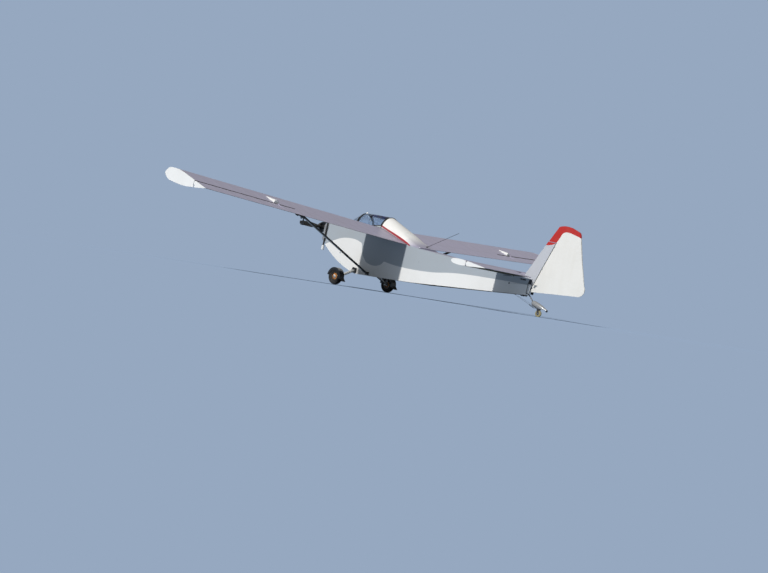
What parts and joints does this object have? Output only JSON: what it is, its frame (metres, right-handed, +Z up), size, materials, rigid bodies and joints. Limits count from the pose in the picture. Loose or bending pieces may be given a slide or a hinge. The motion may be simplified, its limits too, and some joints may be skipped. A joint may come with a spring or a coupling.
{
  "type": "microlight aircraft",
  "caption": "Single-seat strut-braced microlight aircraft on a tail wheel, with folding canopy, hinged control surfaces and turning wheels and propeller.",
  "frame": {"origin": "middle of the bounding box on the floor, as it stands parked on its wheels", "axes": "+X forward to the nose, +Y out along the port wing, +Z up from the floor"},
  "size_m": [6.3994, 10.4052, 1.5864],
  "materials": {
    "hull_paint": "semi-gloss two-tone paint, pale grey over white",
    "wing_fabric": "doped and painted fabric, satin, pale grey",
    "tail_fabric": "doped and painted fabric, satin, off-white with a red rudder tip",
    "glazing": "clear acrylic sheet",
    "canopy_trim": "black satin",
    "cowl_metal": "bare sheet, satin",
    "engine_metal": "dark cast fins, matte",
    "silencer_metal": "bright brushed metal",
    "black_paint": "black satin paint",
    "propeller_black": "glossy black composite",
    "leg_metal": "satin",
    "tyre_rubber": "matte black rubber",
    "rim_paint": "white paint",
    "tail_tyre": "tan rubber",
    "steel": "plain steel",
    "seat_shell": "dark moulded shell",
    "cushion_cloth": "charcoal cloth",
    "panel_black": "black crackle"
  },
  "bodies": {
    "airframe": {"side_panel_port": "hull_paint", "side_panel_starboard": "hull_paint", "belly_panel": "hull_paint", "firewall": "cowl_metal", "aft_fuselage": "hull_paint", "windscreen": "glazing", "windscreen_bow": "canopy_trim", "coaming_port": "hull_paint", "coaming_starboard": "hull_paint", "turtle_deck": "hull_paint", "nose_deck": "hull_paint", "engine_block": "engine_metal", "engine_heads": "engine_metal", "nose_cowl": "cowl_metal", "silencer": "silencer_metal", "exhaust_pipe": "black_paint", "wing_port": "wing_fabric", "wing_starboard": "wing_fabric", "lift_strut_port": "black_paint", "lift_strut_starboard": "black_paint", "pitot_mast": "black_paint", "rod_fairing_port": "wing_fabric", "rod_fairing_starboard": "wing_fabric", "antenna": "black_paint", "gear_leg_port": "leg_metal", "gear_leg_starboard": "leg_metal", "mudguard_port": "propeller_black", "mudguard_starboard": "propeller_black", "stabiliser": "tail_fabric", "fin": "tail_fabric", "tail_housing": "leg_metal", "tail_spring": "steel", "instrument_panel": "panel_black", "seat_pan": "seat_shell", "seat_cushion": "cushion_cloth", "control_stick": "black_paint", "rudder_pedals": "steel"},
    "canopy": {"canopy_frame": "canopy_trim", "canopy_glass": "glazing"},
    "airscrew": {"spinner": "propeller_black", "propeller": "propeller_black"},
    "main_wheel_port": {"main_tyre_port": "tyre_rubber", "main_rim_port": "rim_paint"},
    "main_wheel_starboard": {"main_tyre_starboard": "tyre_rubber", "main_rim_starboard": "rim_paint"},
    "tail_steering": {"tail_fork": "steel"},
    "tail_roller": {"tail_wheel": "tail_tyre"},
    "port_aileron": {"aileron_port": "wing_fabric"},
    "starboard_aileron": {"aileron_starboard": "wing_fabric"},
    "elevator_body": {"elevator": "tail_fabric"},
    "rudder_body": {"rudder": "tail_fabric"}
  },
  "joints": [
    {"name": "canopy_hinge", "type": "hinge", "parent": "airframe", "child": "canopy", "pos_m": [1.70817, -0.297, 1.26592], "axis": [0.9966, 0, 0.0823], "range_deg": [0, 80]},
    {"name": "propeller_spin", "type": "hinge", "parent": "airframe", "child": "airscrew", "pos_m": [3.02467, 0, 1.11977], "axis": [0.9966, 0, 0.0823], "continuous": true},
    {"name": "port_wheel_spin", "type": "hinge", "parent": "airframe", "child": "main_wheel_port", "pos_m": [1.71839, 0.774, 0.158], "axis": [0, 1, 0], "continuous": true},
    {"name": "starboard_wheel_spin", "type": "hinge", "parent": "airframe", "child": "main_wheel_starboard", "pos_m": [1.71839, -0.774, 0.158], "axis": [0, 1, 0], "continuous": true},
    {"name": "port_aileron_hinge", "type": "hinge", "parent": "airframe", "child": "port_aileron", "pos_m": [0.73271, 3.01868, 1.12047], "axis": [-0.0059, 0.9991, 0.0415], "range_deg": [-20, 20]},
    {"name": "starboard_aileron_hinge", "type": "hinge", "parent": "airframe", "child": "starboard_aileron", "pos_m": [0.73271, -3.01868, 1.12047], "axis": [-0.0059, -0.9991, 0.0415], "range_deg": [-20, 20]},
    {"name": "elevator_hinge", "type": "hinge", "parent": "airframe", "child": "elevator_body", "pos_m": [-1.86696, 0, 0.68269], "axis": [0, 1, 0], "range_deg": [-25, 25]},
    {"name": "rudder_hinge", "type": "hinge", "parent": "airframe", "child": "rudder_body", "pos_m": [-2.19012, 0, 0.41619], "axis": [-0.4011, 0, 0.916], "range_deg": [-25, 25]},
    {"name": "tail_steering_pivot", "type": "hinge", "parent": "airframe", "child": "tail_steering", "pos_m": [-2.38133, 0, 0.14353], "axis": [-0.0823, 0, 0.9966], "range_deg": [-25, 25]},
    {"name": "tail_wheel_spin", "type": "hinge", "parent": "tail_steering", "child": "tail_roller", "pos_m": [-2.39634, 0, 0.058], "axis": [0, 1, 0], "continuous": true}
  ],
  "couplings": [
    {"joint": "starboard_aileron_hinge", "follows": "port_aileron_hinge", "ratio": 1},
    {"joint": "tail_steering_pivot", "follows": "rudder_hinge", "ratio": 1}
  ]
}
